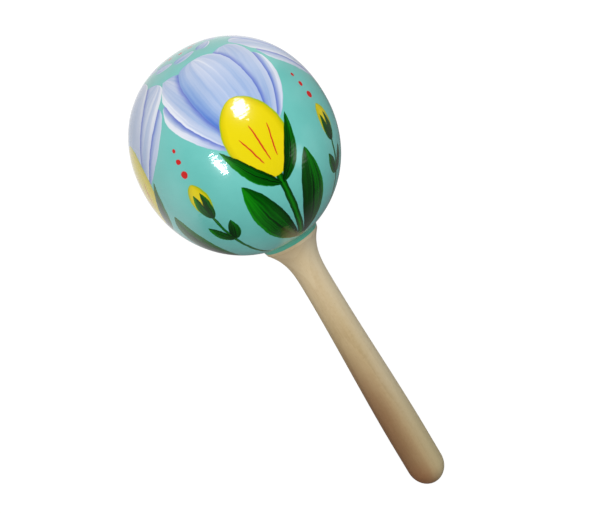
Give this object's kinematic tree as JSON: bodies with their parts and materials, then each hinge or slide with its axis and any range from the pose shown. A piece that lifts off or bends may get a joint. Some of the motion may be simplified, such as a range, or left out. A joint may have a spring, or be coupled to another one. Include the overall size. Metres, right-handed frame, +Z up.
{
  "type": "maraca",
  "caption": "Hand-held rattle: a round hollow painted wooden head in glued halves on a bare turned handle with a flared neck, filled with loose dried peas.",
  "frame": {"origin": "on the floor under the middle of the whole object as it lies on its side", "axes": "+X along its length from head to handle end, +Z up, Y across; the maraca's own axis leans 11.8 degrees down towards the handle end"},
  "size_m": [0.2054, 0.0798, 0.0803],
  "materials": {
    "turquoise_enamel": "glossy hand-painted enamel under clear lacquer",
    "bare_wood": "sanded, bare, satin",
    "dried_pea": "dry, matt"
  },
  "bodies": {
    "maraca": {"head_crown_half": "turquoise_enamel", "head_neck_half": "turquoise_enamel", "handle": "bare_wood"},
    "pea_01": {"pea_01": "dried_pea"},
    "pea_02": {"pea_02": "dried_pea"},
    "pea_03": {"pea_03": "dried_pea"},
    "pea_04": {"pea_04": "dried_pea"},
    "pea_05": {"pea_05": "dried_pea"},
    "pea_06": {"pea_06": "dried_pea"},
    "pea_07": {"pea_07": "dried_pea"},
    "pea_08": {"pea_08": "dried_pea"},
    "pea_09": {"pea_09": "dried_pea"},
    "pea_10": {"pea_10": "dried_pea"},
    "pea_11": {"pea_11": "dried_pea"},
    "pea_12": {"pea_12": "dried_pea"},
    "pea_13": {"pea_13": "dried_pea"},
    "pea_14": {"pea_14": "dried_pea"},
    "pea_15": {"pea_15": "dried_pea"},
    "pea_16": {"pea_16": "dried_pea"},
    "pea_17": {"pea_17": "dried_pea"},
    "pea_18": {"pea_18": "dried_pea"},
    "pea_19": {"pea_19": "dried_pea"}
  },
  "joints": [
    {"name": "pea_01_flight", "type": "slide", "parent": "maraca", "child": "pea_01", "axis": [0, 0, 1], "range_m": [0, 0.0604]},
    {"name": "pea_02_flight", "type": "slide", "parent": "maraca", "child": "pea_02", "axis": [0, 0, 1], "range_m": [0, 0.0582]},
    {"name": "pea_03_flight", "type": "slide", "parent": "maraca", "child": "pea_03", "axis": [0, 0, 1], "range_m": [0, 0.0582]},
    {"name": "pea_04_flight", "type": "slide", "parent": "maraca", "child": "pea_04", "axis": [0, 0, 1], "range_m": [0, 0.0586]},
    {"name": "pea_05_flight", "type": "slide", "parent": "maraca", "child": "pea_05", "axis": [0, 0, 1], "range_m": [0, 0.059]},
    {"name": "pea_06_flight", "type": "slide", "parent": "maraca", "child": "pea_06", "axis": [0, 0, 1], "range_m": [0, 0.0586]},
    {"name": "pea_07_flight", "type": "slide", "parent": "maraca", "child": "pea_07", "axis": [0, 0, 1], "range_m": [0, 0.0582]},
    {"name": "pea_08_flight", "type": "slide", "parent": "maraca", "child": "pea_08", "axis": [0, 0, 1], "range_m": [0, 0.0522]},
    {"name": "pea_09_flight", "type": "slide", "parent": "maraca", "child": "pea_09", "axis": [0, 0, 1], "range_m": [0, 0.0544]},
    {"name": "pea_10_flight", "type": "slide", "parent": "maraca", "child": "pea_10", "axis": [0, 0, 1], "range_m": [0, 0.0523]},
    {"name": "pea_11_flight", "type": "slide", "parent": "maraca", "child": "pea_11", "axis": [0, 0, 1], "range_m": [0, 0.0546]},
    {"name": "pea_12_flight", "type": "slide", "parent": "maraca", "child": "pea_12", "axis": [0, 0, 1], "range_m": [0, 0.0531]},
    {"name": "pea_13_flight", "type": "slide", "parent": "maraca", "child": "pea_13", "axis": [0, 0, 1], "range_m": [0, 0.0559]},
    {"name": "pea_14_flight", "type": "slide", "parent": "maraca", "child": "pea_14", "axis": [0, 0, 1], "range_m": [0, 0.0545]},
    {"name": "pea_15_flight", "type": "slide", "parent": "maraca", "child": "pea_15", "axis": [0, 0, 1], "range_m": [0, 0.0559]},
    {"name": "pea_16_flight", "type": "slide", "parent": "maraca", "child": "pea_16", "axis": [0, 0, 1], "range_m": [0, 0.0531]},
    {"name": "pea_17_flight", "type": "slide", "parent": "maraca", "child": "pea_17", "axis": [0, 0, 1], "range_m": [0, 0.0546]},
    {"name": "pea_18_flight", "type": "slide", "parent": "maraca", "child": "pea_18", "axis": [0, 0, 1], "range_m": [0, 0.0523]},
    {"name": "pea_19_flight", "type": "slide", "parent": "maraca", "child": "pea_19", "axis": [0, 0, 1], "range_m": [0, 0.0544]}
  ]
}
